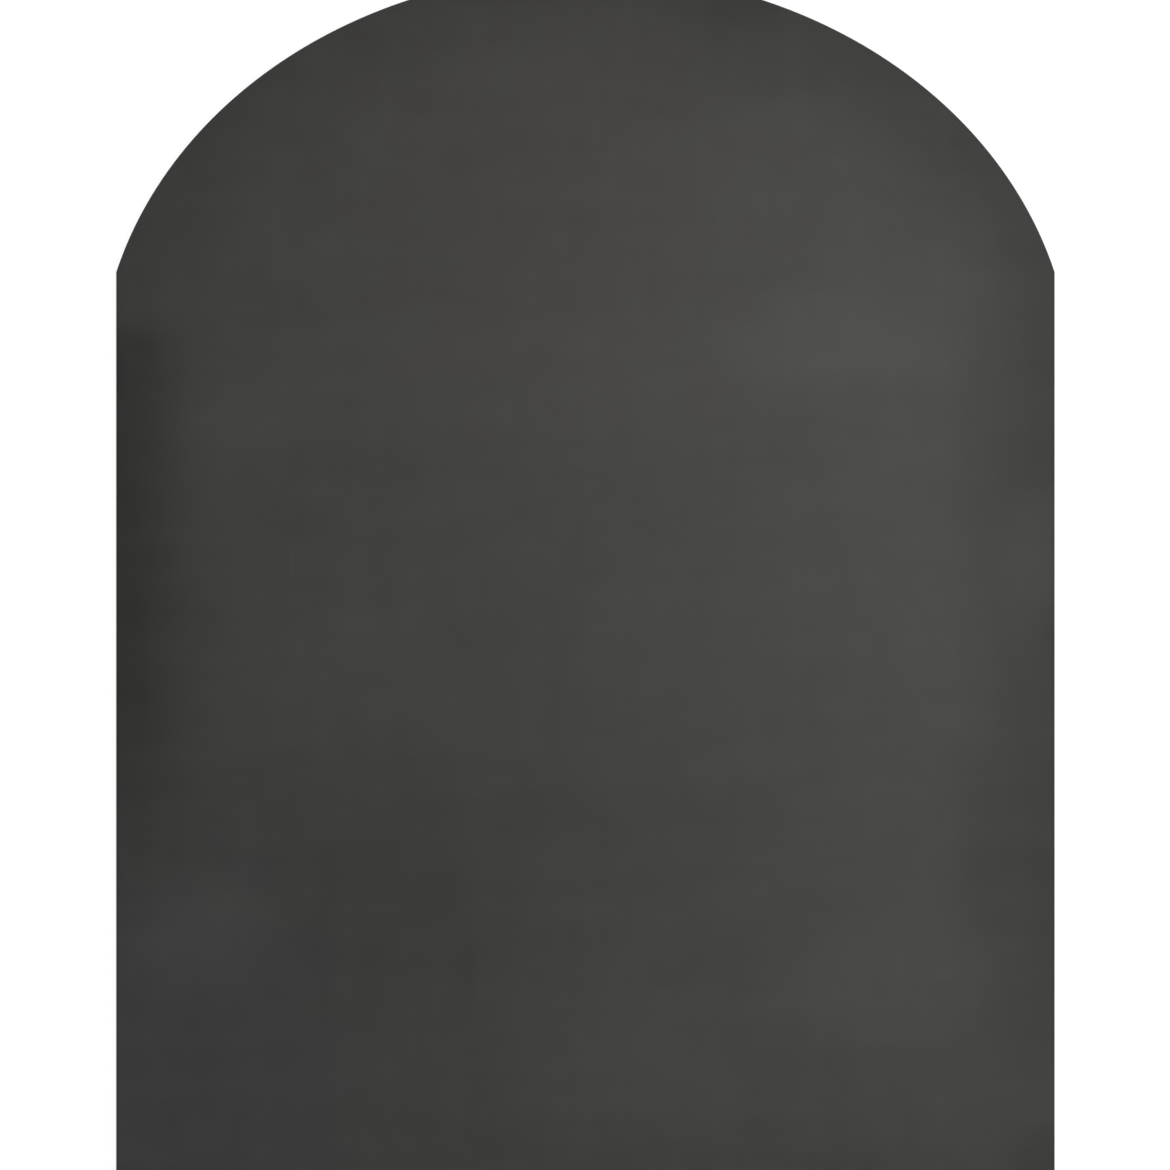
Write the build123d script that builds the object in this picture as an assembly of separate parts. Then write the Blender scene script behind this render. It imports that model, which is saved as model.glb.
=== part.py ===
from build123d import *
import math
import os

# A floor plate for a wood stove, in millimetres. One coated steel sheet with an arched front lies on
# ribbed rubber: a sealing strip in four runs under its rim, and round pads in rows under its field.
# The origin is the middle of the plate's length and width, on the floor. +Z is up, +Y points to the
# arched front, which faces the room, and the straight back edge is at -Y.

# Steel sheet
SHEET_WIDTH = 850.0
SHEET_LENGTH = 1100.0  # back edge to the crown of the arch
SHEET_THICKNESS = 2.0
SHEET_EDGE_RADIUS = 0.5  # cut edges, rounded off before the sheet is coated
BACK_CORNER_RADIUS = 3.0

# Arched front, the top of an ellipse that is wider than the sheet, so it meets each side at a corner
ARCH_RISE = 272.0  # corner at the side to the crown
ARCH_OVERHANG = 16.0  # how far the ellipse would reach past each side of the sheet

# Rubber under the sheet, equally thick everywhere, so that the sheet lies level
RUBBER_THICKNESS = 2.0
RUBBER_EDGE_RADIUS = 0.4
GROOVE_WIDTH = 1.4
GROOVE_DEPTH = 0.8

# Sealing strip
STRIP_WIDTH = 9.0
STRIP_INSET = 8.0  # edge of the sheet to the strip
STRIP_GROOVES = 2
STRIP_JOINT_GAP = 0.5  # between the ends of two runs

# Pads
PAD_DIAMETER = 40.0
PAD_GROOVE_PITCH = 5.0
PAD_PLAIN_MIDDLE = 12.0  # diameter that the ring grooves leave flat
PAD_SIDE_MARGIN = 175.0  # side of the sheet to the nearest column of pads
PAD_END_MARGIN = 150.0  # back edge, and crown of the arch, to the nearest row of pads
PAD_COLUMNS = ("left", "centre", "right")
PAD_ROWS = 5

# Places that follow from these sizes
HALF_WIDTH = SHEET_WIDTH / 2
BACK_EDGE_Y = -SHEET_LENGTH / 2
CROWN_Y = SHEET_LENGTH / 2
ARCH_RADIUS_X = HALF_WIDTH + ARCH_OVERHANG
ARCH_RADIUS_Y = ARCH_RISE / (1 - math.sqrt(1 - (HALF_WIDTH / ARCH_RADIUS_X) ** 2))
ARCH_CENTRE_Y = CROWN_Y - ARCH_RADIUS_Y


def corner_y(inset):
    """Height in the plan at which the arch meets the side, on the outline drawn in by inset."""
    reach = (HALF_WIDTH - inset) / (ARCH_RADIUS_X - inset)
    return ARCH_CENTRE_Y + (ARCH_RADIUS_Y - inset) * math.sqrt(1 - reach**2)


def sheet_outline():
    """The cut outline: a straight back edge, two straight sides and the arch."""
    corner_angle = math.degrees(math.acos(HALF_WIDTH / ARCH_RADIUS_X))
    back_left = (-HALF_WIDTH, BACK_EDGE_Y)
    back_right = (HALF_WIDTH, BACK_EDGE_Y)
    side_end = corner_y(0)
    arch = EllipticalCenterArc(
        (0, ARCH_CENTRE_Y),
        ARCH_RADIUS_X,
        ARCH_RADIUS_Y,
        start_angle=corner_angle,
        arc_size=180 - 2 * corner_angle,
    )
    edges = [
        Line(back_left, back_right),
        Line(back_right, (HALF_WIDTH, side_end)),
        arch,
        Line((-HALF_WIDTH, side_end), back_left),
    ]
    outline = make_face(edges)
    back_corners = outline.vertices().group_by(Axis.Y)[0]
    return fillet(back_corners, BACK_CORNER_RADIUS)


def steel_sheet():
    """The sheet on top of the rubber, with its edges rounded above and below."""
    sheet = extrude(Pos(0, 0, RUBBER_THICKNESS) * sheet_outline(), SHEET_THICKNESS)
    edge_radius = min(SHEET_EDGE_RADIUS, 0.45 * SHEET_THICKNESS)
    levels = sheet.edges().filter_by(GeomType.LINE, reverse=True).group_by(Axis.Z)
    straight = sheet.edges().filter_by(GeomType.LINE).group_by(Axis.Z)
    rims = levels[0] + levels[-1] + straight[0] + straight[-1]
    return fillet(rims, edge_radius)


def strip_profile():
    """Section of the sealing strip, centred on its own width, with its ribs down on the floor."""
    section = Pos(0, RUBBER_THICKNESS / 2) * Rectangle(STRIP_WIDTH, RUBBER_THICKNESS)
    for offset in groove_offsets():
        section -= Pos(offset, GROOVE_DEPTH / 2) * Rectangle(GROOVE_WIDTH, GROOVE_DEPTH)
    return section


def groove_offsets():
    """Places of the grooves across the strip, which leave ribs of one width."""
    pitch = STRIP_WIDTH / (STRIP_GROOVES + 1)
    return [(number + 1) * pitch - STRIP_WIDTH / 2 for number in range(STRIP_GROOVES)]


def straight_run(length):
    """A run of strip along +Y that starts at y = 0."""
    standing = Plane.XZ * strip_profile()
    return extrude(standing, length, dir=(0, 1, 0))


def arch_band(outer_inset, inner_inset, start_y, height):
    """The solid between two outlines of the arch drawn in from the cut edge, ahead of start_y."""
    ellipses = [
        Ellipse(ARCH_RADIUS_X - inset, ARCH_RADIUS_Y - inset)
        for inset in (outer_inset, inner_inset)
    ]
    band = Pos(0, ARCH_CENTRE_Y) * (ellipses[0] - ellipses[1])
    kept_depth = CROWN_Y - start_y
    kept = Pos(0, start_y + kept_depth / 2) * Rectangle(2 * ARCH_RADIUS_X, kept_depth)
    return extrude(band & kept, height)


def arch_run(start_y):
    """The run of strip that follows the arch, with the same ribs as a straight one."""
    run = arch_band(STRIP_INSET, STRIP_INSET + STRIP_WIDTH, start_y, RUBBER_THICKNESS)
    for offset in groove_offsets():
        middle = STRIP_INSET + STRIP_WIDTH / 2 + offset
        outer, inner = middle - GROOVE_WIDTH / 2, middle + GROOVE_WIDTH / 2
        run -= arch_band(outer, inner, start_y, GROOVE_DEPTH)
    return run


def sealing_strip():
    """The four runs under the rim by name, end to end with a small gap at each joint."""
    side_x = HALF_WIDTH - STRIP_INSET - STRIP_WIDTH / 2
    side_start = BACK_EDGE_Y + STRIP_INSET
    joint_y = corner_y(STRIP_INSET)
    side = straight_run(joint_y - STRIP_JOINT_GAP / 2 - side_start)
    back_length = 2 * (side_x - STRIP_WIDTH / 2 - STRIP_JOINT_GAP)
    back = Rot(0, 0, -90) * straight_run(back_length)
    return {
        "seal_left": Pos(-side_x, side_start) * side,
        "seal_right": Pos(side_x, side_start) * side,
        "seal_back": Pos(-back_length / 2, side_start + STRIP_WIDTH / 2) * back,
        "seal_arch": arch_run(joint_y + STRIP_JOINT_GAP / 2),
    }


def pad():
    """A round pad on the origin, with ring grooves in its floor side and a rounded floor edge."""
    radius = PAD_DIAMETER / 2
    disc = extrude(Circle(radius), RUBBER_THICKNESS)
    disc = fillet(disc.edges().group_by(Axis.Z)[0], RUBBER_EDGE_RADIUS)
    inner = PAD_PLAIN_MIDDLE / 2
    while inner + GROOVE_WIDTH < radius - GROOVE_WIDTH:
        ring = Circle(inner + GROOVE_WIDTH) - Circle(inner)
        disc -= extrude(ring, GROOVE_DEPTH)
        inner += PAD_GROOVE_PITCH
    return disc


def spaced(first, last, count):
    """Evenly spaced places from first to last."""
    return [first + (last - first) * number / (count - 1) for number in range(count)]


def pads():
    """The pads by name, in columns across the plate and rows that are counted from the back edge."""
    one = pad()
    outer_x = HALF_WIDTH - PAD_SIDE_MARGIN
    columns = spaced(-outer_x, outer_x, len(PAD_COLUMNS))
    rows = spaced(BACK_EDGE_Y + PAD_END_MARGIN, CROWN_Y - PAD_END_MARGIN, PAD_ROWS)
    placed = {}
    for column, x in zip(PAD_COLUMNS, columns):
        for number, y in enumerate(rows, 1):
            placed[f"pad_{column}_{number}"] = Pos(x, y) * one
    return placed


os.makedirs("parts", exist_ok=True)
nodes = {"steel_sheet": steel_sheet(), **sealing_strip(), **pads()}
for name, solid in nodes.items():
    export_step(solid, f"parts/{name}.step")
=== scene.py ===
# The looks of a wood stove's floor plate, in metres: a powder-coated steel sheet with an arched front,
# the ribbed rubber strip and round rubber pads that it lies on, and the white studio around it, seen
# from straight above. The sheet's top looks up along +Z and the arch points along +Y.
import math

import bpy
import numpy as np
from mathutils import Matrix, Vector


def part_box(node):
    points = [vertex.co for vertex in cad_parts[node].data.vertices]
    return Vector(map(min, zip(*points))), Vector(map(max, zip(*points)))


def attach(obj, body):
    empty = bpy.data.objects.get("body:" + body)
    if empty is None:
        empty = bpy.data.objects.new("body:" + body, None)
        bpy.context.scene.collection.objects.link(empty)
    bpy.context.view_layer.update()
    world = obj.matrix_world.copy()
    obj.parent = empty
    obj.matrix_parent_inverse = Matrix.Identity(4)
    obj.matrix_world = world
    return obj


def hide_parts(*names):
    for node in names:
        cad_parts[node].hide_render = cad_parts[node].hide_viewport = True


bl_info = {
    "name": "Stove Floor Plate",
    "version": (1, 0, 0),
    "blender": (4, 5, 0),
    "location": "View3D > Sidebar > Floor Plate",
    "description": "Dresses the packed floor plate in its coat and rubber and sets up its studio",
    "category": "Object",
}

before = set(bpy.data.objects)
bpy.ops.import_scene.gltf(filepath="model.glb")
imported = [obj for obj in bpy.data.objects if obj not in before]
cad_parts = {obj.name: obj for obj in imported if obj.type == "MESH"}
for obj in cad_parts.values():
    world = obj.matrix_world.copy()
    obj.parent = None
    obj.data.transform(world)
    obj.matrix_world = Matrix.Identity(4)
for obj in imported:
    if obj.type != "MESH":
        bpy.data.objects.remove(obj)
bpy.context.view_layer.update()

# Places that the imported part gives
BODY = "root"
SHEET_LOW, SHEET_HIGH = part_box("steel_sheet")
HALF_WIDTH = SHEET_HIGH.x
HALF_LENGTH = -SHEET_LOW.y
SHEET_TOP = SHEET_HIGH.z
SHEET_BOTTOM = SHEET_LOW.z
PAD_NODES = sorted(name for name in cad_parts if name.startswith("pad_"))

# Fineness of the meshes
SIDE_STEPS = 56  # along a straight side, and along the back edge
ARCH_STEPS = 240
CORNER_STEPS = 8
ROUNDING_STEPS = 6  # over a rounded edge
RIM_STEPS = 18  # from a rounded edge to the inner field
FIELD_STEPS = 14  # from the inner field to the plate's middle
RIM_DEPTH = 0.12  # how far in from the edge the rings of the mesh follow the outline
RIM_GATHERING = 2.6  # power that gathers those rings towards the edge
CORNER_GROWTH = 0.8  # how fast the rings round off the back corners on their way in
RIB_STEPS = 72  # across a strip or a pad's radius
PAD_TOP_STRIDE = 12  # the pad's flat top has one ring for so many of those steps
PAD_TURN_STEPS = 72
SHARP_ANGLE = math.radians(50)  # edges of the rubber that turn more than this are shaded as corners

# Framing. The photograph is PHOTO_SIDE pixels square, and the plate's sides are at these columns.
PHOTO_SIDE = 1170
PLATE_LEFT_COLUMN = 116.1
PLATE_RIGHT_COLUMN = 1054.7
PHOTO_CENTRE_Y = -0.0053  # place on the plate that the photograph's middle row shows
SENSOR_WIDTH = 36.0  # of the camera, in millimetres

# Lamps: name, place, what it looks at, width and length, watts, and whether the sheet reflects it. The
# four above give the satin its soft fall of light. The two at the sides only fill, because seen from
# low down they would glare off the sheet.
LAMPS = (
    ("key", (0.5, 0.55, 2.4), (0.5, 0.55, 0.0), (0.6, 1.5), 7.4, True),
    ("far_strip", (1.1, -0.2, 2.4), (1.1, -0.2, 0.0), (0.6, 2.4), 9.9, True),
    ("front_fill", (-0.7, 0.7, 2.4), (-0.7, 0.7, 0.0), (0.6, 0.6), 1.65, True),
    ("back_fill", (0.2, -1.1, 2.4), (0.2, -1.1, 0.0), (1.2, 0.6), 1.0, True),
    ("right_side", (3.0, 0.2, 1.8), (0.0, 0.0, 0.0), (1.6, 2.4), 70.0, False),
    ("left_side", (-3.0, 0.2, 1.8), (0.0, 0.0, 0.0), (1.6, 2.4), 20.0, False),
)

# Studio
WALL_TOP = (0.35, 0.8)  # heights of a look, as sines, between which the walls pass into the ceiling
WHITE = (1.0, 1.0, 1.0, 1.0)
FLOOR_PAINT = (0.9, 0.9, 0.9, 1.0)
FLOOR_GLOW = 1.05  # strength of the white that is seen on the floor, a little past plain white
NEAR_GLOW = 0.86  # share of that white beside the plate, where paint keeps the plate's shadow
FAR_FLOOR = (1.2, 4.0)  # distances between which the floor passes to plain white
GAP_SHADE_START = 0.0005  # how far in under the rim the floor starts to lose its own white
GAP_SHADE_FULL = 0.002  # and where it has none left

# Soft spots of painted sheen, lighter and darker, where the lamps' reflection on the satin is uneven:
# x, y, reach along x and along y, tone
PAINTED_SHEEN_SPOTS = (
    (0.00, 0.190, 0.48, 0.085, 0.09),
    (0.225, 0.215, 0.15, 0.060, 0.18),
    (-0.310, 0.140, 0.11, 0.070, 0.13),
    (-0.220, -0.075, 0.16, 0.13, 0.12),
    (-0.180, -0.285, 0.15, 0.15, -0.14),
    (0.010, -0.215, 0.28, 0.05, -0.06),
    (-0.365, -0.318, 0.12, 0.08, 0.20),
    (0.255, -0.370, 0.14, 0.10, 0.15),
    (0.050, -0.440, 0.16, 0.11, 0.12),
    (0.105, 0.455, 0.17, 0.07, -0.12),
    (0.365, 0.130, 0.08, 0.13, -0.12),
    (0.357, -0.240, 0.05, 0.15, -0.12),
    (0.400, -0.405, 0.07, 0.08, -0.15),
    (0.405, 0.025, 0.04, 0.08, 0.24),
    (0.415, -0.530, 0.06, 0.06, -0.22),
    (0.300, 0.330, 0.07, 0.08, -0.10),
    (0.135, 0.525, 0.10, 0.040, -0.16),
)
SPOT_WAVER = 0.5  # how far a spot's outline wanders, as a share of its reach
SPOT_CORE = 0.15  # share of its reach up to which a spot keeps its full tone

# Painted shade along the rim, where the lamps' reflection falls off, and a thin darker line at the
# edge. A pair of places is where it passes from one state to the next.
RIM_TURN_X = (-0.05, 0.36)  # from the left side's shade to the right side's
RIM_FRONT_Y = (-0.42, -0.26)  # from the back edge's share of that shade to all of it
BACK_RIM_SHARE = 0.3
EDGE_LINE_WIDTH = 0.004
EDGE_LINE_SHADE = 0.2
EDGE_LINE_Y = (0.25, 0.30)  # from the whole line along the sides to the arch's share of it
ARCH_LINE_SHARE = 0.2
# Painted shade in a band beside the middle of the left side
SIDE_BAND_X = (-0.412, -0.345)  # from the left band's full shade to none
SIDE_BAND_BACK_Y = (-0.27, -0.06)  # from none to its full shade
SIDE_BAND_FRONT_Y = (0.205, 0.245)  # and back to none
SIDE_BAND_WAVER = 0.04

# Hairline scratch, which fades out from the first half size to the second
SCRATCH_MIDDLE = (-0.2654, 0.015)
SCRATCH_HALF_WIDTH = (0.0001, 0.00045)
SCRATCH_HALF_LENGTH = (0.009, 0.0135)
SCRATCH_WAVER = 0.0006
SCRATCH_WAVER_SCALE = 90.0  # its turns to the metre

# Unevenness of the coat: its lumps to the metre, and how much each kind adds to tone and roughness
CLOUD_SCALE = 6.0
CLOUD_TONE = 0.08
CLOUD_ROUGHNESS = 0.04
RIM_ROUGHNESS = 0.04
MOTTLE_SCALE = 22.0
MOTTLE_TONE = 0.2
FINE_MOTTLE_SCALE = 60.0
FINE_MOTTLE_TONE = 0.12
STREAK_SCALE = 45.0
STREAK_STRETCH = 0.15  # how much slower the tone changes along a streak than across it
ACROSS_TONE = 0.2
ALONG_TONE = 0.14
SKIN_SCALE = 1100.0
SKIN_HEIGHT = 0.00006

# Drifts of hue: middle, reach along x and along y, and how far the mottle moves the outline
WARM_DRIFT = ((-0.02, 0.33), (0.28, 0.30), 1.6)
COOL_DRIFT = ((-0.37, -0.45), (0.25, 0.32), 0.8)
DRIFT_CORE = 0.2  # share of its reach up to which a drift is full

# Finish of the rubber
RUBBER_TONE = 0.8
RUBBER_ROUGHNESS = 0.68
GRAIN_TONE = 0.3
GRAIN_ROUGHNESS = 0.08
DUST_SCALE = 60.0
DUST_LEVELS = (0.45, 0.8)  # noise up to which there is no dust, and from which it is full
DUST_TONE = 0.5
DUST_ROUGHNESS = 0.12
STRIP_LINE_SCALE = 3000.0
STRIP_LINE_STRETCH = 0.02  # how much slower the grain changes along the strip than across it
STRIP_LINE_SHARE = 0.6  # of the strip's grain, the rest being fine lumps
STRIP_LUMP_SCALE = 900.0
STRIP_GRAIN_DEPTH = 0.0001
PAD_GRAIN_SCALE = 1500.0
PAD_GRAIN_DEPTH = 0.00008


class SheetSettings(bpy.types.PropertyGroup):
    """Sizes and finish of the steel sheet."""

    arch_rise: bpy.props.FloatProperty(
        name="Arch Rise",
        description="From the corner at the side to the crown of the arch",
        default=0.272, min=0.05, max=0.4, unit="LENGTH", subtype="DISTANCE",
    )
    arch_overhang: bpy.props.FloatProperty(
        name="Arch Overhang",
        description="How far the arch's ellipse would reach past each side of the sheet",
        default=0.016, min=0.001, max=0.1, unit="LENGTH", subtype="DISTANCE",
    )
    edge_radius: bpy.props.FloatProperty(
        name="Edge Radius",
        description="Rounding of the cut edges, above and below",
        default=0.0005, min=0.0001, max=0.0009, unit="LENGTH", subtype="DISTANCE",
    )
    back_corner_radius: bpy.props.FloatProperty(
        name="Back Corner Radius",
        description="Rounding of the two back corners in the plan",
        default=0.003, min=0.001, max=0.05, unit="LENGTH", subtype="DISTANCE",
    )
    coat_colour: bpy.props.FloatVectorProperty(
        name="Coat Colour",
        description="Colour of the powder coat",
        default=(0.0304, 0.0304, 0.0266), min=0.0, max=1.0, size=3, subtype="COLOR",
    )
    warm_colour: bpy.props.FloatVectorProperty(
        name="Warm Colour",
        description="Colour that the coat drifts to near the middle of the arch",
        default=(0.0322, 0.0298, 0.0275), min=0.0, max=1.0, size=3, subtype="COLOR",
    )
    cool_colour: bpy.props.FloatVectorProperty(
        name="Cool Colour",
        description="Colour that the coat drifts to at the back of the left side",
        default=(0.0296, 0.0298, 0.0310), min=0.0, max=1.0, size=3, subtype="COLOR",
    )
    coat_roughness: bpy.props.FloatProperty(
        name="Coat Roughness",
        description="Satin of the powder coat, from gloss at 0 to matt at 1",
        default=0.46, min=0.0, max=1.0, subtype="FACTOR",
    )
    # The rim's painted shade, where the lamps' reflection falls off, less on the left than on the right
    rim_shade: bpy.props.FloatProperty(
        name="Rim Shade",
        description="How much darker the coat is along the left side's rim than in the field",
        default=0.22, min=0.0, max=1.0, subtype="FACTOR",
    )
    right_rim_shade: bpy.props.FloatProperty(
        name="Right Rim Shade",
        description="How much darker it is along the right side and the right half of the arch",
        default=0.42, min=0.0, max=1.0, subtype="FACTOR",
    )
    # Painted shade in the band beside the middle of the left side
    side_shade: bpy.props.FloatProperty(
        name="Side Shade",
        description="How much darker the coat is in the band beside the middle of the left side",
        default=0.36, min=0.0, max=1.0, subtype="FACTOR",
    )
    scratch_shine: bpy.props.FloatProperty(
        name="Scratch Shine",
        description="How much lighter the hairline scratch on the left of the plate is",
        default=0.7, min=0.0, max=2.0, subtype="FACTOR",
    )
    # Width of the band of painted shade along the rim, which is also a touch rougher
    rim_width: bpy.props.FloatProperty(
        name="Rim Width",
        description="Width of the darker band along the rim",
        default=0.11, min=0.001, max=0.12, unit="LENGTH", subtype="DISTANCE",
    )


class RubberSettings(bpy.types.PropertyGroup):
    """Ribs and colours of the rubber under the sheet."""

    groove_width: bpy.props.FloatProperty(
        name="Groove Width",
        description="Width of the grooves in the strip and in the pads",
        default=0.0014, min=0.0002, max=0.003, unit="LENGTH", subtype="DISTANCE",
    )
    groove_depth: bpy.props.FloatProperty(
        name="Groove Depth",
        description="Depth of the grooves in the strip and in the pads",
        default=0.0008, min=0.0001, max=0.0015, unit="LENGTH", subtype="DISTANCE",
    )
    strip_grooves: bpy.props.IntProperty(
        name="Strip Grooves",
        description="Number of grooves along the sealing strip",
        default=2, min=1, max=5,
    )
    pad_groove_pitch: bpy.props.FloatProperty(
        name="Pad Groove Pitch",
        description="From one ring groove of a pad to the next",
        default=0.005, min=0.002, max=0.01, unit="LENGTH", subtype="DISTANCE",
    )
    pad_plain_middle: bpy.props.FloatProperty(
        name="Pad Plain Middle",
        description="Diameter inside the innermost ring groove",
        default=0.012, min=0.004, max=0.03, unit="LENGTH", subtype="DISTANCE",
    )
    wall_lean: bpy.props.FloatProperty(
        name="Wall Lean",
        description="How far a groove's wall or a rounded rib edge runs in sideways",
        default=0.00025, min=0.0001, max=0.0006, unit="LENGTH", subtype="DISTANCE",
    )
    strip_colour: bpy.props.FloatVectorProperty(
        name="Strip Colour",
        description="Colour of the sealing strip",
        default=(0.018, 0.018, 0.018), min=0.0, max=1.0, size=3, subtype="COLOR",
    )
    pad_colour: bpy.props.FloatVectorProperty(
        name="Pad Colour",
        description="Colour of the round pads",
        default=(0.026, 0.026, 0.027), min=0.0, max=1.0, size=3, subtype="COLOR",
    )


class StudioSettings(bpy.types.PropertyGroup):
    """Light, floor and camera."""

    lens: bpy.props.FloatProperty(
        name="Lens", description="Focal length of the camera", default=100.0, min=20.0, max=300.0,
        unit="CAMERA",
    )
    horizon_light: bpy.props.FloatProperty(
        name="Horizon Light", description="Brightness of the studio's walls", default=1.0, min=0.0,
        max=2.0,
    )
    ceiling_light: bpy.props.FloatProperty(
        name="Ceiling Light", description="Brightness of the studio's ceiling", default=0.15,
        min=0.0, max=2.0,
    )
    floor_width: bpy.props.FloatProperty(
        name="Floor Width", description="Side of the square floor", default=60.0, min=2.0,
        max=200.0, unit="LENGTH", subtype="DISTANCE",
    )


class Value:
    """A number that a node gives. Python's operators on it add Math nodes."""

    def __init__(self, tree, socket):
        self.tree = tree
        self.socket = socket

    def maths(self, operation, *terms):
        """A Math node on these terms."""
        return self.tree.node("ShaderNodeMath", {"operation": operation}, dict(enumerate(terms)))

    def __add__(self, other):
        return self.maths("ADD", self, other)

    def __sub__(self, other):
        return self.maths("SUBTRACT", self, other)

    def __mul__(self, other):
        return self.maths("MULTIPLY", self, other)

    def __rsub__(self, other):
        return self.maths("SUBTRACT", other, self)

    def __abs__(self):
        return self.maths("ABSOLUTE", self)

    __radd__ = __add__
    __rmul__ = __mul__


class Tree:
    """The nodes of one material or of the world."""

    def __init__(self, owner):
        owner.use_nodes = True
        self.nodes = owner.node_tree.nodes
        self.links = owner.node_tree.links
        self.nodes.clear()

    def node(self, kind, settings=None, inputs=None, output=0):
        """Adds a node, sets its settings, then fills or links its sockets by name or number."""
        made = self.nodes.new(kind)
        for name, value in (settings or {}).items():
            setattr(made, name, value)
        for key, value in (inputs or {}).items():
            if isinstance(value, Value):
                self.links.new(value.socket, made.inputs[key])
            else:
                made.inputs[key].default_value = value
        return Value(self, made.outputs[output]) if made.outputs else made

    def place(self):
        """Where a point lies on the part, in its object's own coordinates."""
        return self.node("ShaderNodeTexCoord", output="Object")

    def coordinate(self, place, axis):
        """One coordinate of a place: X, Y or Z."""
        return self.node("ShaderNodeSeparateXYZ", {}, {"Vector": place}, output=axis)

    def attribute(self, name):
        """The number that the mesh holds under a name."""
        return self.node("ShaderNodeAttribute", {"attribute_name": name}, output="Fac")

    def vector(self, operation, *terms, output="Vector"):
        """A Vector Math node on these terms."""
        settings = {"operation": operation}
        return self.node("ShaderNodeVectorMath", settings, dict(enumerate(terms)), output)

    def larger(self, first, second):
        """The larger of two numbers."""
        return self.node("ShaderNodeMath", {"operation": "MAXIMUM"}, {0: first, 1: second})

    def ramp(self, value, start, end, low=0.0, high=1.0):
        """low where value is at start, high where it is at end, with a soft step between them."""
        return self.node(
            "ShaderNodeMapRange",
            {"interpolation_type": "SMOOTHSTEP"},
            {"Value": value, "From Min": start, "From Max": end, "To Min": low, "To Max": high},
        )

    def noise(self, place, scale, detail):
        """Noise from 0 to 1 whose lumps are about 1 / scale across."""
        return self.node(
            "ShaderNodeTexNoise",
            {"noise_dimensions": "3D"},
            {"Vector": place, "Scale": scale, "Detail": detail},
        )

    def scaled(self, place, scales):
        """A place with each coordinate times its own scale."""
        return self.vector("MULTIPLY", place, scales)

    def spot(self, place, middle, reach):
        """Distance from a spot's middle in the plan, in shares of its reach along x and along y."""
        apart = self.vector("SUBTRACT", place, (*middle, 0.0))
        shares = self.scaled(apart, (1 / reach[0], 1 / reach[1], 0.0))
        return self.vector("LENGTH", shares, output="Value")

    def mixed(self, first, second, share):
        """A colour between two, first where the share is 0 and second where it is 1."""
        colours = {
            "A": first if isinstance(first, Value) else (*first, 1.0),
            "B": second if isinstance(second, Value) else (*second, 1.0),
            "Factor": share,
        }
        return self.node("ShaderNodeMix", {"data_type": "RGBA"}, colours, output="Result")

    def tinted(self, colour, tone):
        """A colour made darker or lighter by a tone that varies around 1."""
        terms = {"Vector": colour, "Scale": tone}
        return self.node("ShaderNodeVectorMath", {"operation": "SCALE"}, terms)

    def bump(self, height, distance):
        """Normal of a surface that stands out by distance where height is 1."""
        return self.node("ShaderNodeBump", {}, {"Height": height, "Distance": distance})


def new_material(name):
    """An empty material and its tree."""
    material = bpy.data.materials.new(name)
    return material, Tree(material)


def finish_surface(tree, inputs):
    """Ends a tree in one Principled shader with these inputs."""
    shader = tree.node("ShaderNodeBsdfPrincipled", {}, inputs)
    tree.node("ShaderNodeOutputMaterial", {}, {"Surface": shader})


def painted_sheen_spots(tree, place, waver):
    """Sum of the spots of painted sheen, each 1 at its middle and 0 at its reach, times its tone."""
    total = 0.0
    for x, y, reach_x, reach_y, tone in PAINTED_SHEEN_SPOTS:
        away = tree.spot(place, (x, y), (reach_x, reach_y))
        total = tree.ramp(away + waver, SPOT_CORE, 1.0, tone, 0.0) + total
    return total


def coat_unevenness(tree, place, clouds, mottle):
    """What clouds, mottle, fine mottle and faint streaks both ways add to the coat's tone."""
    fine_mottle = tree.noise(place, FINE_MOTTLE_SCALE, 1.0) - 0.5
    drawn_across = tree.scaled(place, (STREAK_STRETCH, 1.0, 1.0))
    drawn_along = tree.scaled(place, (1.0, STREAK_STRETCH, 1.0))
    streaks_across = tree.noise(drawn_across, STREAK_SCALE, 1.0) - 0.5
    streaks_along = tree.noise(drawn_along, STREAK_SCALE, 1.0) - 0.5
    mottles = CLOUD_TONE * clouds + MOTTLE_TONE * mottle + FINE_MOTTLE_TONE * fine_mottle
    return mottles + ACROSS_TONE * streaks_across + ALONG_TONE * streaks_along


def painted_rim_shade(tree, settings, x, y, edge, rim):
    """Painted shade in the band along the rim, where the lamps' reflection falls off, plus the thin
    darker line at its edge.
    """
    shade = tree.ramp(x, *RIM_TURN_X, settings.rim_shade, settings.right_rim_shade)
    front = tree.ramp(y, *RIM_FRONT_Y, BACK_RIM_SHARE, 1.0)
    line = tree.ramp(edge, 0.0, EDGE_LINE_WIDTH, EDGE_LINE_SHADE, 0.0)
    return shade * rim * front + line * tree.ramp(y, *EDGE_LINE_Y, 1.0, ARCH_LINE_SHARE)


def painted_side_band(tree, x, y, clouds):
    """1 in the band of painted shade beside the middle of the left side, 0 elsewhere."""
    beside = tree.ramp(x, *SIDE_BAND_X, 1.0, 0.0)
    wandering = y + SIDE_BAND_WAVER * clouds
    along = tree.ramp(y, *SIDE_BAND_BACK_Y) * tree.ramp(wandering, *SIDE_BAND_FRONT_Y, 1.0, 0.0)
    return beside * along


def scratch_mark(tree, place, x, y):
    """1 on the hairline scratch, which runs along y and wavers a little, 0 elsewhere."""
    waver = SCRATCH_WAVER * (tree.noise(place, SCRATCH_WAVER_SCALE, 1.0) - 0.5)
    aside = abs(x - SCRATCH_MIDDLE[0] + waver)
    ahead = abs(y - SCRATCH_MIDDLE[1])
    thin = tree.ramp(aside, *SCRATCH_HALF_WIDTH, 1.0, 0.0)
    return thin * tree.ramp(ahead, *SCRATCH_HALF_LENGTH, 1.0, 0.0)


def hue_drift(tree, place, mottle, drift):
    """1 in the middle of a drift of hue and 0 past its reach, with an outline that wanders."""
    middle, reach, waver = drift
    away = tree.spot(place, middle, reach) + waver * mottle
    return tree.ramp(away, DRIFT_CORE, 1.0, 1.0, 0.0)


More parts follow.
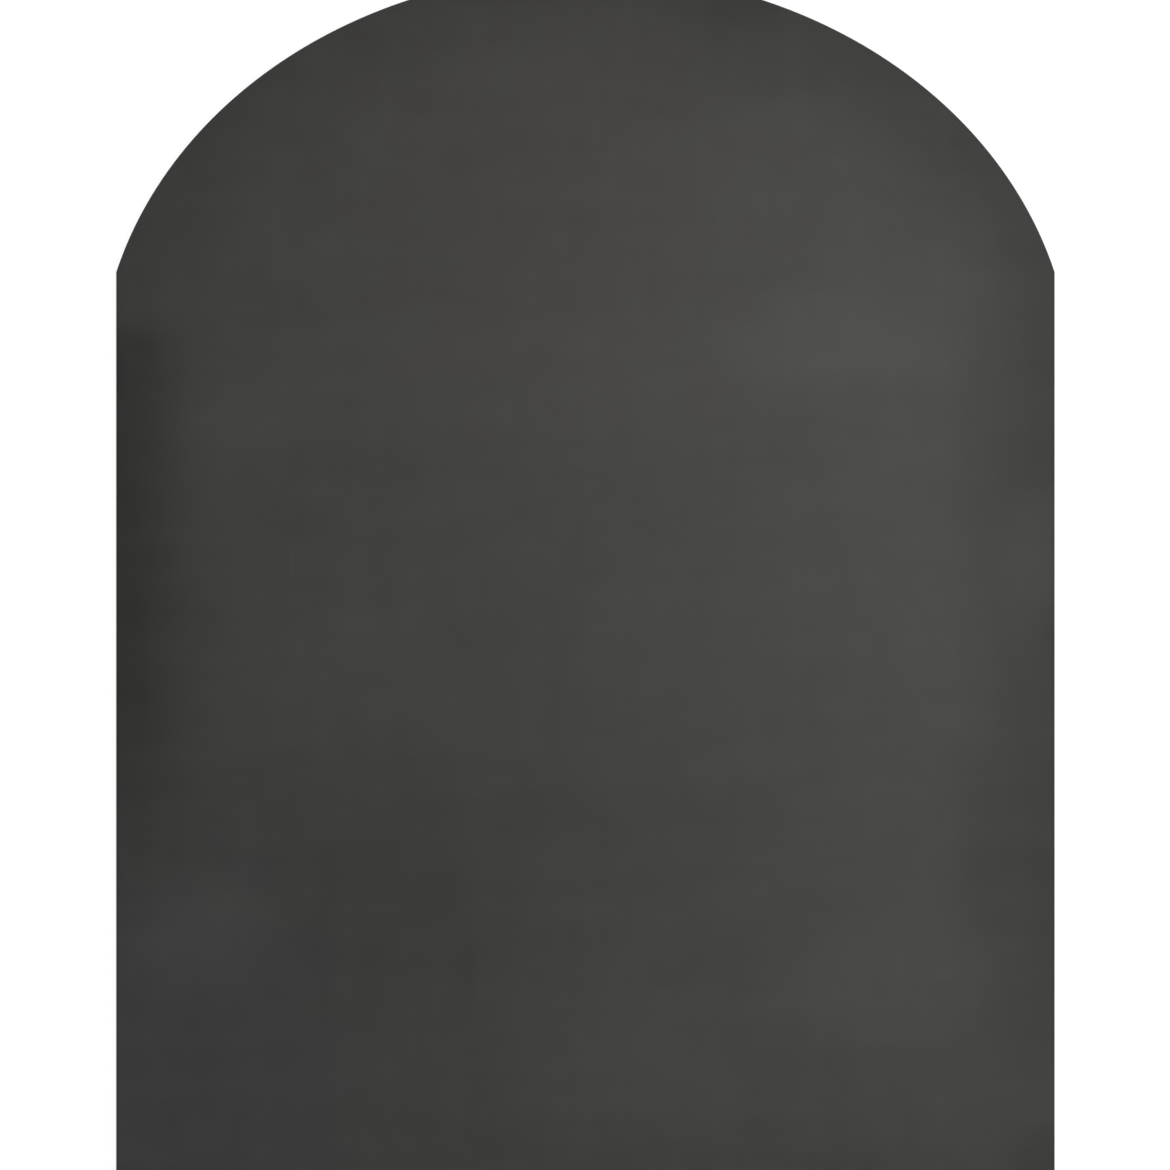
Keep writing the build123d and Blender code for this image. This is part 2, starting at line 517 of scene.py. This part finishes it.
def powder_coat(settings):
    """Satin dark grey powder coat: fine skin, clouds, spots of painted sheen, painted shade along the
    rim and by the left side, and a scratch.
    """
    material, tree = new_material("Satin Powder Coat")
    place = tree.place()
    x = tree.coordinate(place, "X")
    y = tree.coordinate(place, "Y")
    edge = tree.attribute("edge_distance")
    rim = tree.ramp(edge, 0.0, settings.rim_width, 1.0, 0.0)
    clouds = tree.noise(place, CLOUD_SCALE, 3.0) - 0.5
    mottle = tree.noise(place, MOTTLE_SCALE, 2.0) - 0.5
    tone = 1.0 + coat_unevenness(tree, place, clouds, mottle)
    # Painted sheen in spots, then painted shade along the rim and in a band by the left side
    tone = tone + painted_sheen_spots(tree, place, SPOT_WAVER * clouds)
    tone = tone - painted_rim_shade(tree, settings, x, y, edge, rim)
    tone = tone - settings.side_shade * painted_side_band(tree, x, y, clouds)
    tone = tone + settings.scratch_shine * scratch_mark(tree, place, x, y)
    warmth = hue_drift(tree, place, mottle, WARM_DRIFT)
    coolness = hue_drift(tree, place, mottle, COOL_DRIFT)
    colour = tree.mixed((*settings.coat_colour,), (*settings.warm_colour,), warmth)
    colour = tree.mixed(colour, (*settings.cool_colour,), coolness)
    finish_surface(
        tree,
        {
            "Base Color": tree.tinted(colour, tone),
            "Roughness": settings.coat_roughness + CLOUD_ROUGHNESS * clouds + RIM_ROUGHNESS * rim,
            "Normal": tree.bump(tree.noise(place, SKIN_SCALE, 2.0), SKIN_HEIGHT),
        },
    )
    return material


def rubber_finish(tree, place, colour, grain, depth):
    """Ends a tree in matt black rubber, which is uneven where the grain says and has a little dust."""
    dust = tree.ramp(tree.noise(place, DUST_SCALE, 4.0), *DUST_LEVELS)
    tone = RUBBER_TONE + GRAIN_TONE * grain + DUST_TONE * dust
    finish_surface(
        tree,
        {
            "Base Color": tree.tinted((*colour,), tone),
            "Roughness": RUBBER_ROUGHNESS + GRAIN_ROUGHNESS * grain + DUST_ROUGHNESS * dust,
            "Normal": tree.bump(grain, depth),
        },
    )


def strip_rubber(settings):
    """Extruded rubber: fine lines that run along the strip, from the distances across and along it."""
    material, tree = new_material("Ribbed Strip Rubber")
    place = tree.place()
    slow = STRIP_LINE_STRETCH * tree.attribute("along")
    drawn = tree.node("ShaderNodeCombineXYZ", {}, {"X": tree.attribute("across"), "Y": slow})
    lines = tree.noise(drawn, STRIP_LINE_SCALE, 1.0)
    lumps = tree.noise(place, STRIP_LUMP_SCALE, 2.0)
    grain = STRIP_LINE_SHARE * lines + (1 - STRIP_LINE_SHARE) * lumps
    rubber_finish(tree, place, settings.strip_colour, grain, STRIP_GRAIN_DEPTH)
    return material


def pad_rubber(settings):
    """Moulded rubber with an even fine grain."""
    material, tree = new_material("Moulded Pad Rubber")
    place = tree.place()
    grain = tree.noise(place, PAD_GRAIN_SCALE, 2.0)
    rubber_finish(tree, place, settings.pad_colour, grain, PAD_GRAIN_DEPTH)
    return material


def gathered(steps):
    """Shares from 0 to just under 1 that lie close together at both ends: half of 1 - cos."""
    return 0.5 - 0.5 * np.cos(np.pi * np.arange(steps) / steps)


def arch_ellipse(sheet, inset):
    """Half axes and centre of the arch's ellipse, drawn in by inset.

    The ellipse passes through the crown and, arch_rise behind it, through both corners."""
    radius_x = HALF_WIDTH + sheet.arch_overhang
    radius_y = sheet.arch_rise / (1 - math.sqrt(1 - (HALF_WIDTH / radius_x) ** 2))
    return radius_x - inset, radius_y - inset, HALF_LENGTH - radius_y


def arch_corner_y(sheet, inset):
    """Where the arch meets the side, both drawn in by inset: the ellipse at the side's x."""
    radius_x, radius_y, centre_y = arch_ellipse(sheet, inset)
    return centre_y + radius_y * np.sqrt(1 - ((HALF_WIDTH - inset) / radius_x) ** 2)


def arch_points(sheet, inset, shares, start_y):
    """Points of the arch drawn in by inset, from the right at start_y over the crown to the left.

    x = radius_x * cos(t) and y = centre_y + radius_y * sin(t), with t even in the shares."""
    radius_x, radius_y, centre_y = arch_ellipse(sheet, inset)
    first = np.arcsin((start_y - centre_y) / radius_y)
    turn = first + (np.pi - 2 * first) * shares
    return radius_x * np.cos(turn), centre_y + radius_y * np.sin(turn)


def outlines(sheet, inset):
    """Closed outlines of the sheet, one row for each inset, anticlockwise from the right side.

    A straight piece runs from one end to the other by its shares, and a back corner is a quarter
    circle whose radius shrinks with the inset over the rounded edge and then grows."""
    inset = np.asarray(inset)[:, None]
    straight = gathered(SIDE_STEPS)[None, :]
    quarter = (np.pi / 2) * (np.arange(CORNER_STEPS) / CORNER_STEPS)[None, :]
    rounded = np.minimum(inset, sheet.edge_radius)
    radius = sheet.back_corner_radius - rounded + CORNER_GROWTH * (inset - rounded)
    side_x = HALF_WIDTH - inset
    back_y = inset - HALF_LENGTH
    side_start = back_y + radius
    side_end = arch_corner_y(sheet, inset)
    back_end = side_x - radius
    arch_x, arch_y = arch_points(sheet, inset, gathered(ARCH_STEPS)[None, :], side_end)
    even = np.ones_like(straight)
    runs = [
        (side_x * even, side_start + (side_end - side_start) * straight),
        (arch_x, arch_y),
        (-side_x * even, side_end + (side_start - side_end) * straight),
        (-back_end - radius * np.cos(quarter), side_start - radius * np.sin(quarter)),
        (back_end * (2 * straight - 1), back_y * even),
        (back_end + radius * np.sin(quarter), side_start - radius * np.cos(quarter)),
    ]
    joined = [np.concatenate([run[axis] for run in runs], axis=1) for axis in (0, 1)]
    return np.stack(joined, axis=2)


def shell_faces(rows, columns):
    """Faces of a closed shell: a grid whose columns wrap round, between two poles that come last.

    Row 0 is next to the first pole. Faces turn so that they look outwards when the rows run from
    the top pole to the bottom one and the columns run anticlockwise seen from above."""
    column = np.arange(columns)
    after = (column + 1) % columns
    row = np.arange(rows - 1)[:, None] * columns
    below = row + columns
    quads = np.stack([row + column, below + column, below + after, row + after], axis=2)
    top = rows * columns
    bottom = top + 1
    last = (rows - 1) * columns
    fan_top = np.stack([np.full(columns, top), column, after], axis=1)
    fan_bottom = np.stack([np.full(columns, bottom), last + after, last + column], axis=1)
    return quads.reshape(-1, 4).tolist() + fan_top.tolist() + fan_bottom.tolist()


def add_mesh(name, points, faces, smooth=True):
    """A mesh object from points and faces, at the origin, with smooth shading."""
    mesh = bpy.data.meshes.new(name)
    mesh.from_pydata(points.reshape(-1, 3).tolist(), [], faces)
    mesh.polygons.foreach_set("use_smooth", np.full(len(mesh.polygons), smooth))
    mesh.update()
    made = bpy.data.objects.new(name, mesh)
    bpy.context.scene.collection.objects.link(made)
    return made


def add_attribute(piece, name, numbers):
    """One number for each point of the mesh, for its material to read."""
    attribute = piece.data.attributes.new(name, "FLOAT", "POINT")
    attribute.data.foreach_set("value", numbers.astype(np.float32))


def dress(piece, node, material):
    """The piece stands for a CAD node, rides on the part and wears its material."""
    piece.data.materials.append(material)
    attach(piece, BODY)
    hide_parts(node)


def sheet_section(sheet):
    """Insets, shares of the way from the middle, and heights, from the top's middle to the rim.

    In the field the innermost outline is scaled by the share, at one inset. In the rim the inset
    falls to the edge radius by a power, and over the rounded edge it follows a quarter circle."""
    radius = sheet.edge_radius
    field = np.arange(1, FIELD_STEPS) / FIELD_STEPS
    rim = radius + (RIM_DEPTH - radius) * np.linspace(1, 0, RIM_STEPS) ** RIM_GATHERING
    turn = (np.pi / 2) * np.arange(1, ROUNDING_STEPS + 1) / ROUNDING_STEPS
    inset = np.concatenate([np.full(len(field), RIM_DEPTH), rim, radius * (1 - np.sin(turn))])
    share = np.concatenate([field, np.ones(len(rim) + len(turn))])
    drop = np.concatenate([np.zeros(len(field) + len(rim)), radius * (1 - np.cos(turn))])
    return inset, share, drop


def build_sheet(sheet):
    """The sheet as one closed shell, whose section runs over the top, round the edge and back below."""
    inset, share, drop = sheet_section(sheet)
    inset = np.concatenate([inset, inset[::-1]])
    share = np.concatenate([share, share[::-1]])
    height = np.concatenate([SHEET_TOP - drop, SHEET_BOTTOM + drop[::-1]])
    plan = outlines(sheet, inset) * share[:, None, None]
    rows, columns = plan.shape[:2]
    level = np.broadcast_to(height[:, None, None], (rows, columns, 1))
    grid = np.concatenate([plan, level], axis=2).reshape(-1, 3)
    poles = np.array([[0, 0, SHEET_TOP], [0, 0, SHEET_BOTTOM]])
    piece = add_mesh("coated_sheet", np.concatenate([grid, poles]), shell_faces(rows, columns))
    distance = np.concatenate([np.repeat(inset, columns), [RIM_DEPTH, RIM_DEPTH]])
    add_attribute(piece, "edge_distance", distance)
    return piece


def groove_height(across, middles, rubber_sizes):
    """Height of the rubber's floor side: 0 on the ribs and the groove's depth over each groove.

    Each wall is a smooth step, 3 s^2 - 2 s^3, over the wall's lean."""
    apart = np.abs(across[:, None] - np.asarray(middles)[None, :]).min(axis=1)
    rise = np.clip((rubber_sizes.groove_width / 2 - apart) / rubber_sizes.wall_lean, 0, 1)
    return rubber_sizes.groove_depth * rise**2 * (3 - 2 * rise)


def rounded_foot(from_end, rubber_sizes):
    """Height that rounds off the rubber's outer floor edges: a quarter circle near each end."""
    reach = np.clip(1 - from_end / rubber_sizes.wall_lean, 0, 1)
    return rubber_sizes.wall_lean * (1 - np.sqrt(1 - reach**2))


def strip_piece(name, path, normal, width, thickness, rubber_sizes):
    """A run of strip: a ribbed section carried along a path of middles and sideways normals.

    The point at share a across is middle + normal * a. The top side is flat under the sheet, the
    floor side has the grooves, and each end is closed by faces between the two sides."""
    across = width * (np.linspace(0, 1, RIB_STEPS + 1) - 0.5)
    pitch = width / (rubber_sizes.strip_grooves + 1)
    middles = [(number + 1) * pitch - width / 2 for number in range(rubber_sizes.strip_grooves)]
    floor_side = groove_height(across, middles, rubber_sizes)
    floor_side = floor_side + rounded_foot(width / 2 - np.abs(across), rubber_sizes)
    loop = np.concatenate([across, across[::-1]])
    height = np.concatenate([floor_side, np.full(len(across), thickness)])
    plan = path[:, None, :] + normal[:, None, :] * loop[None, :, None]
    stations, around = plan.shape[:2]
    level = np.broadcast_to(height[None, :, None], (stations, around, 1))
    points = np.concatenate([plan, level], axis=2)
    one = np.arange(around)
    after = (one + 1) % around
    row = np.arange(stations - 1)[:, None] * around
    quads = np.stack([row + one, row + after, row + around + after, row + around + one], axis=2)
    bottom = np.arange(len(across) - 1)
    top = around - 1 - bottom
    start = np.stack([bottom, top, top - 1, bottom + 1], axis=1)
    end = start[:, ::-1] + (stations - 1) * around
    faces = quads.reshape(-1, 4).tolist() + start.tolist() + end.tolist()
    piece = add_mesh(name, points, faces)
    piece.data.set_sharp_from_angle(angle=SHARP_ANGLE)
    run_length = np.concatenate([[0.0], np.linalg.norm(np.diff(path, axis=0), axis=1).cumsum()])
    add_attribute(piece, "across", np.tile(loop, stations))
    add_attribute(piece, "along", np.repeat(run_length, around))
    return piece


def arch_path(sheet, inset, start_y):
    """Middles and outward normals of the run along the arch, from the right to the left."""
    x, y = arch_points(sheet, inset, np.linspace(0, 1, ARCH_STEPS + 1), start_y)
    path = np.stack([x, y], axis=1)
    tangent = np.gradient(path, axis=0)
    tangent = tangent / np.linalg.norm(tangent, axis=1, keepdims=True)
    return path, np.stack([tangent[:, 1], -tangent[:, 0]], axis=1)


def straight_path(start, end, sideways):
    """Middles and normals of a straight run: start + (end - start) * share."""
    shares = np.append(gathered(SIDE_STEPS), 1.0)[:, None]
    path = np.array([start]) + shares * (np.array([end]) - np.array([start]))
    return path, np.repeat([sideways], len(path), axis=0)


def strip_runs(sheet, rubber_sizes):
    """The four runs of strip by CAD node, each on its node's place."""
    low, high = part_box("seal_right")
    width = high.x - low.x
    inset = HALF_WIDTH - (low.x + high.x) / 2
    arch_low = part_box("seal_arch")[0]
    runs = {"seal_arch": arch_path(sheet, inset, arch_low.y)}
    for node in ("seal_left", "seal_right"):
        low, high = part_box(node)
        middle_x = (low.x + high.x) / 2
        runs[node] = straight_path((middle_x, low.y), (middle_x, high.y), (1.0, 0.0))
    low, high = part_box("seal_back")
    middle_y = (low.y + high.y) / 2
    runs["seal_back"] = straight_path((low.x, middle_y), (high.x, middle_y), (0.0, -1.0))
    return {
        node: strip_piece("ribbed_" + node, path, normal, width, SHEET_BOTTOM, rubber_sizes)
        for node, (path, normal) in runs.items()
    }


def pad_piece(node, rubber_sizes):
    """A round pad on its node's place: a section turned round its middle, closed at both poles."""
    low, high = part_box(node)
    middle = (low + high) / 2
    radius = (high.x - low.x) / 2
    out = radius * np.arange(1, RIB_STEPS + 1) / RIB_STEPS
    innermost = rubber_sizes.pad_plain_middle / 2
    outermost = radius - 2 * rubber_sizes.groove_width
    inner = np.arange(innermost, outermost, rubber_sizes.pad_groove_pitch)
    floor_side = groove_height(out, inner + rubber_sizes.groove_width / 2, rubber_sizes)
    floor_side = floor_side + rounded_foot(radius - out, rubber_sizes)
    flat_top = np.append(out[::PAD_TOP_STRIDE], radius)
    section = np.concatenate([flat_top, out[::-1]])
    height = np.concatenate([np.full(len(flat_top), high.z), floor_side[::-1]])
    turn = 2 * np.pi * np.arange(PAD_TURN_STEPS) / PAD_TURN_STEPS
    points = np.stack(
        [
            middle.x + section[:, None] * np.cos(turn),
            middle.y + section[:, None] * np.sin(turn),
            np.broadcast_to(height[:, None], (len(section), PAD_TURN_STEPS)),
        ],
        axis=2,
    )
    poles = np.array([[middle.x, middle.y, high.z], [middle.x, middle.y, low.z]])
    faces = shell_faces(len(section), PAD_TURN_STEPS)
    piece = add_mesh("ringed_" + node, np.concatenate([points.reshape(-1, 3), poles]), faces)
    piece.data.set_sharp_from_angle(angle=SHARP_ANGLE)
    return piece


def add_softbox(name, place, target, size, watts, reflected):
    """A soft rectangular lamp that looks at a target and doesn't show itself."""
    light = bpy.data.lights.new(name, "AREA")
    light.shape = "RECTANGLE"
    light.size, light.size_y = size
    light.energy = watts
    lamp = bpy.data.objects.new(name, light)
    lamp.location = place
    way = Vector(place) - Vector(target)
    lamp.rotation_mode = "QUATERNION"
    lamp.rotation_quaternion = way.to_track_quat("Z", "Y")
    lamp.visible_camera = False
    lamp.visible_glossy = reflected
    bpy.context.scene.collection.objects.link(lamp)


def under_sheet(tree, place, sheet):
    """1 on the floor under the sheet and 0 outside its outline, with a soft step inside the rim.

    The outline is the sides and the back edge, cut off in front by the arch's ellipse."""
    radius_x, radius_y, centre_y = arch_ellipse(sheet, 0.0)
    start, full = GAP_SHADE_START, GAP_SHADE_FULL
    y = tree.coordinate(place, "Y")
    aside = abs(tree.coordinate(place, "X"))
    sides = tree.ramp(aside, HALF_WIDTH - full, HALF_WIDTH - start, 1.0, 0.0)
    back = tree.ramp(y, start - HALF_LENGTH, full - HALF_LENGTH)
    share = tree.spot(place, (0.0, centre_y), (radius_x, radius_y))
    arch = tree.ramp(share, 1 - full / radius_y, 1 - start / radius_y, 1.0, 0.0)
    behind = tree.ramp(y, centre_y - full, centre_y - start, 1.0, 0.0)
    return sides * back * tree.larger(arch, behind)


def add_floor(studio, sheet):
    """A white floor that keeps the plate's soft shadow and grows plain white further out."""
    half = studio.floor_width / 2
    corners = np.array([[-half, -half, 0], [half, -half, 0], [half, half, 0], [-half, half, 0]])
    floor = add_mesh("studio_floor", corners, [[0, 1, 2, 3]], smooth=False)
    material, tree = new_material("White Studio Floor")
    place = tree.place()
    camera_ray, glossy_ray, clear_ray = [
        tree.node("ShaderNodeLightPath", output=name)
        for name in ("Is Camera Ray", "Is Glossy Ray", "Is Transmission Ray")
    ]
    seen = tree.larger(camera_ray, tree.larger(glossy_ray, clear_ray))
    far = tree.vector("LENGTH", place, output="Value")
    share = tree.ramp(far, *FAR_FLOOR, NEAR_GLOW, 1.0) * (1.0 - under_sheet(tree, place, sheet))
    paint = tree.node("ShaderNodeBsdfDiffuse", {}, {"Color": FLOOR_PAINT})
    glow = tree.node("ShaderNodeEmission", {}, {"Color": WHITE, "Strength": FLOOR_GLOW})
    surface = tree.node("ShaderNodeMixShader", {}, {0: seen * share, 1: paint, 2: glow})
    tree.node("ShaderNodeOutputMaterial", {}, {"Surface": surface})
    floor.data.materials.append(material)


def set_world(studio):
    """Light walls that darken towards the ceiling, so the satin sheet reflects a plain studio."""
    world = bpy.data.worlds.new("Studio Walls")
    bpy.context.scene.world = world
    tree = Tree(world)
    way = tree.node("ShaderNodeTexCoord", output="Generated")
    up = tree.coordinate(way, "Z")
    strength = tree.ramp(up, *WALL_TOP, studio.horizon_light, studio.ceiling_light)
    background = tree.node("ShaderNodeBackground", {}, {"Color": WHITE, "Strength": strength})
    tree.node("ShaderNodeOutputWorld", {}, {"Surface": background})


def add_camera(studio):
    """A camera straight above the plate that frames it as the photograph does."""
    data = bpy.data.cameras.new("camera")
    data.lens = studio.lens
    data.sensor_width = SENSOR_WIDTH
    metres_per_pixel = 2 * HALF_WIDTH / (PLATE_RIGHT_COLUMN - PLATE_LEFT_COLUMN)
    middle_column = (PLATE_LEFT_COLUMN + PLATE_RIGHT_COLUMN) / 2
    view_width = metres_per_pixel * PHOTO_SIDE
    camera = bpy.data.objects.new("camera", data)
    camera.location = (
        (PHOTO_SIDE / 2 - middle_column) * metres_per_pixel,
        PHOTO_CENTRE_Y,
        SHEET_TOP + view_width * data.lens / SENSOR_WIDTH,
    )
    bpy.context.scene.collection.objects.link(camera)
    bpy.context.scene.camera = camera


class FLOORPLATE_OT_sheet(bpy.types.Operator):
    """Build the coated steel sheet"""

    bl_idname = "floorplate.sheet"
    bl_label = "Coated Steel Sheet"

    def execute(self, context):
        settings = context.scene.floorplate_sheet
        dress(build_sheet(settings), "steel_sheet", powder_coat(settings))
        return {"FINISHED"}


class FLOORPLATE_OT_strip(bpy.types.Operator):
    """Build the four runs of ribbed sealing strip"""

    bl_idname = "floorplate.strip"
    bl_label = "Sealing Strip"

    def execute(self, context):
        sizes = context.scene.floorplate_rubber
        material = strip_rubber(sizes)
        for node, piece in strip_runs(context.scene.floorplate_sheet, sizes).items():
            dress(piece, node, material)
        return {"FINISHED"}


class FLOORPLATE_OT_pads(bpy.types.Operator):
    """Build the round rubber pads"""

    bl_idname = "floorplate.pads"
    bl_label = "Round Pads"

    def execute(self, context):
        sizes = context.scene.floorplate_rubber
        material = pad_rubber(sizes)
        for node in PAD_NODES:
            dress(pad_piece(node, sizes), node, material)
        return {"FINISHED"}


class FLOORPLATE_OT_studio(bpy.types.Operator):
    """Set up the floor, the light and the camera"""

    bl_idname = "floorplate.studio"
    bl_label = "White Studio"

    def execute(self, context):
        studio = context.scene.floorplate_studio
        add_floor(studio, context.scene.floorplate_sheet)
        set_world(studio)
        for lamp in LAMPS:
            add_softbox(*lamp)
        add_camera(studio)
        context.scene.view_settings.view_transform = "Standard"
        return {"FINISHED"}


class FLOORPLATE_PT_sidebar(bpy.types.Panel):
    """Builds the floor plate's pieces and shows their settings"""

    bl_idname = "FLOORPLATE_PT_sidebar"
    bl_label = "Floor Plate"
    bl_space_type = "VIEW_3D"
    bl_region_type = "UI"
    bl_category = "Floor Plate"

    def draw(self, context):
        for operator in OPERATORS:
            self.layout.operator(operator.bl_idname)
        for name in SETTINGS:
            settings = getattr(context.scene, name)
            box = self.layout.box()
            for prop in settings.bl_rna.properties:
                if prop.identifier in settings.__annotations__:
                    box.prop(settings, prop.identifier)


SETTINGS = {
    "floorplate_sheet": SheetSettings,
    "floorplate_rubber": RubberSettings,
    "floorplate_studio": StudioSettings,
}
OPERATORS = (FLOORPLATE_OT_sheet, FLOORPLATE_OT_strip, FLOORPLATE_OT_pads, FLOORPLATE_OT_studio)


def register():
    for cls in (*SETTINGS.values(), *OPERATORS, FLOORPLATE_PT_sidebar):
        bpy.utils.register_class(cls)
    for name, cls in SETTINGS.items():
        setattr(bpy.types.Scene, name, bpy.props.PointerProperty(type=cls))


def unregister():
    for name in SETTINGS:
        delattr(bpy.types.Scene, name)
    for cls in (FLOORPLATE_PT_sidebar, *reversed(OPERATORS), *reversed(SETTINGS.values())):
        bpy.utils.unregister_class(cls)


def main():
    """Registers the add-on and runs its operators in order."""
    register()
    bpy.ops.floorplate.sheet()
    bpy.ops.floorplate.strip()
    bpy.ops.floorplate.pads()
    bpy.ops.floorplate.studio()


if __name__ == "__main__":
    main()
